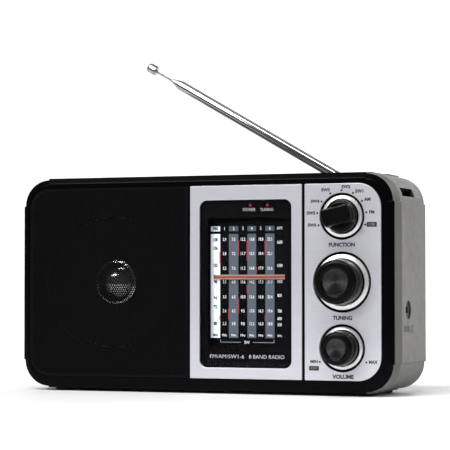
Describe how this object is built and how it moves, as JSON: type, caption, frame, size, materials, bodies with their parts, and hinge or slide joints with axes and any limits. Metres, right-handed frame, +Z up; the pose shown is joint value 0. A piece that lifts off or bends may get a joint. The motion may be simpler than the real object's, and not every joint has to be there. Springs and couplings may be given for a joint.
{
  "type": "shortwave receiver",
  "caption": "Portable multi-band shortwave receiver with slide-rule dial, rotary controls, front speaker, carrying handle and telescopic antenna.",
  "frame": {"origin": "bottom centre of the object's box, at the height of the feet's soles", "axes": "+Z up, -Y out of the front face with the dial, +X to the right of someone facing the front"},
  "size_m": [0.2406, 0.086, 0.2037],
  "materials": {
    "case_black": "moulded black, semi-gloss",
    "case_grey": "fine-textured warm grey",
    "case_rear": "fine-textured dark grey",
    "panel_silver": "finely brushed, satin",
    "grille_mesh": "perforated sheet, satin black",
    "clear_window": "clear acrylic with a black margin",
    "scale_print": "printed dial scale",
    "led_red": "red diffused lens",
    "chrome_bright": "bright plated metal",
    "knob_black": "gloss black with a spun face",
    "plated_steel": "plated steel",
    "nylon": "natural nylon",
    "cord_fibre": "braided cord",
    "pointer_red": "red line on a tan bar",
    "moulded_black": "moulded black",
    "board_laminate": "green laminate",
    "ferrite": "dark sintered ferrite",
    "copper": "enamelled copper winding",
    "laminated_iron": "stacked iron laminations",
    "cone_paper": "black pressed paper",
    "cell_jacket": "printed steel jacket",
    "rubber": "soft black rubber"
  },
  "bodies": {
    "case": {"front_cabinet": "case_black", "middle_shell": "case_grey", "rear_cover": "case_rear", "foot_1": "rubber", "foot_2": "rubber", "foot_3": "rubber", "foot_4": "rubber", "speaker_grille": "grille_mesh", "dial_panel": "panel_silver", "control_panel": "panel_silver", "dial_window": "clear_window", "dial_scale": "scale_print", "power_led": "led_red", "tuning_led": "led_red", "function_dish": "chrome_bright", "tuning_dish": "chrome_bright", "volume_dish": "chrome_bright", "band_switch": "plated_steel", "volume_control": "plated_steel", "tuning_capacitor": "moulded_black", "dial_cord": "cord_fibre", "main_board": "board_laminate", "ferrite_rod": "ferrite", "antenna_coil": "copper", "power_transformer": "laminated_iron", "ac_inlet": "moulded_black", "usb_socket": "plated_steel", "headphone_jack": "moulded_black", "speaker_frame": "plated_steel", "speaker_magnet": "ferrite", "battery_cell_1": "cell_jacket", "battery_cell_2": "cell_jacket", "battery_cell_3": "cell_jacket", "battery_cell_4": "cell_jacket", "battery_spring_1": "chrome_bright", "battery_spring_2": "chrome_bright", "battery_bridge": "chrome_bright", "handle_pin_left": "plated_steel", "handle_pin_right": "plated_steel"},
    "function_control": {"function_knob": "knob_black", "function_shaft": "plated_steel"},
    "tuning_control": {"tuning_knob": "knob_black", "tuning_shaft": "plated_steel"},
    "volume_adjuster": {"volume_knob": "knob_black", "volume_shaft": "plated_steel"},
    "pointer": {"dial_pointer": "pointer_red"},
    "drum": {"dial_drum": "nylon"},
    "pulley_top": {"upper_pulley": "nylon"},
    "pulley_bottom": {"lower_pulley": "nylon"},
    "cone": {"speaker_cone": "cone_paper", "dust_cap": "chrome_bright"},
    "door": {"battery_door": "case_rear"},
    "handle": {"carry_handle": "case_grey"},
    "antenna_swivel_base": {"antenna_base": "chrome_bright"},
    "antenna_outer": {"antenna_elbow": "chrome_bright", "antenna_tube_1": "chrome_bright"},
    "antenna_second": {"antenna_tube_2": "chrome_bright"},
    "antenna_third": {"antenna_tube_3": "chrome_bright"},
    "antenna_fourth": {"antenna_tube_4": "chrome_bright"},
    "antenna_last": {"antenna_rod": "chrome_bright"}
  },
  "joints": [
    {"name": "function_turn", "type": "hinge", "parent": "case", "child": "function_control", "pos_m": [0.08675, -0.029, 0.1029], "axis": [0, 1, 0], "range_deg": [-6.9, 211.9]},
    {"name": "tuning_turn", "type": "hinge", "parent": "case", "child": "tuning_control", "pos_m": [0.08675, -0.029, 0.0652], "axis": [0, 1, 0], "range_deg": [-670, 475]},
    {"name": "volume_turn", "type": "hinge", "parent": "case", "child": "volume_adjuster", "pos_m": [0.08675, -0.029, 0.0274], "axis": [0, 1, 0], "range_deg": [-150, 150]},
    {"name": "pointer_slide", "type": "slide", "parent": "case", "child": "pointer", "axis": [0, 0, 1], "range_m": [-0.0353, 0.0252]},
    {"name": "drum_turn", "type": "hinge", "parent": "case", "child": "drum", "pos_m": [0.08, -0.009, 0.0393], "axis": [0, 1, 0], "range_deg": [-105, 75]},
    {"name": "upper_pulley_turn", "type": "hinge", "parent": "case", "child": "pulley_top", "pos_m": [0.062, -0.009, 0.1113], "axis": [0, 1, 0], "range_deg": [-505, 358]},
    {"name": "lower_pulley_turn", "type": "hinge", "parent": "case", "child": "pulley_bottom", "pos_m": [0.062, -0.009, 0.0193], "axis": [0, 1, 0], "range_deg": [-505, 358]},
    {"name": "cone_stroke", "type": "slide", "parent": "case", "child": "cone", "axis": [0, -1, 0], "range_m": [-0.0015, 0.0015], "stiffness_N_per_m": 1500},
    {"name": "door_hinge", "type": "hinge", "parent": "case", "child": "door", "pos_m": [0.0445, 0.043, 0.0119], "axis": [-1, 0, 0], "range_deg": [0, 95]},
    {"name": "handle_lift", "type": "hinge", "parent": "case", "child": "handle", "pos_m": [0, -0.013, 0.1247], "axis": [1, 0, 0], "range_deg": [0, 90]},
    {"name": "antenna_swivel", "type": "hinge", "parent": "case", "child": "antenna_swivel_base", "pos_m": [0.0925, 0.0345, 0.1125], "axis": [0, 1, 0], "range_deg": [-29.9, 150.1]},
    {"name": "antenna_tilt", "type": "hinge", "parent": "antenna_swivel_base", "child": "antenna_outer", "pos_m": [0.08557, 0.0345, 0.11649], "axis": [-0.4985, 0, -0.8669], "range_deg": [0, 90]},
    {"name": "antenna_slide_2", "type": "slide", "parent": "antenna_outer", "child": "antenna_second", "axis": [-0.8669, 0, 0.4985], "range_m": [0, 0.12]},
    {"name": "antenna_slide_3", "type": "slide", "parent": "antenna_second", "child": "antenna_third", "axis": [-0.8669, 0, 0.4985], "range_m": [0, 0.12]},
    {"name": "antenna_slide_4", "type": "slide", "parent": "antenna_third", "child": "antenna_fourth", "axis": [-0.8669, 0, 0.4985], "range_m": [0, 0.12]},
    {"name": "antenna_slide_5", "type": "slide", "parent": "antenna_fourth", "child": "antenna_last", "axis": [-0.8669, 0, 0.4985], "range_m": [-0.012, 0.108]}
  ],
  "couplings": [
    {"joint": "pointer_slide", "follows": "tuning_turn", "m_per_rad": 0.003},
    {"joint": "drum_turn", "follows": "tuning_turn", "ratio": 0.15544},
    {"joint": "upper_pulley_turn", "follows": "tuning_turn", "ratio": 0.75},
    {"joint": "lower_pulley_turn", "follows": "tuning_turn", "ratio": 0.75}
  ]
}
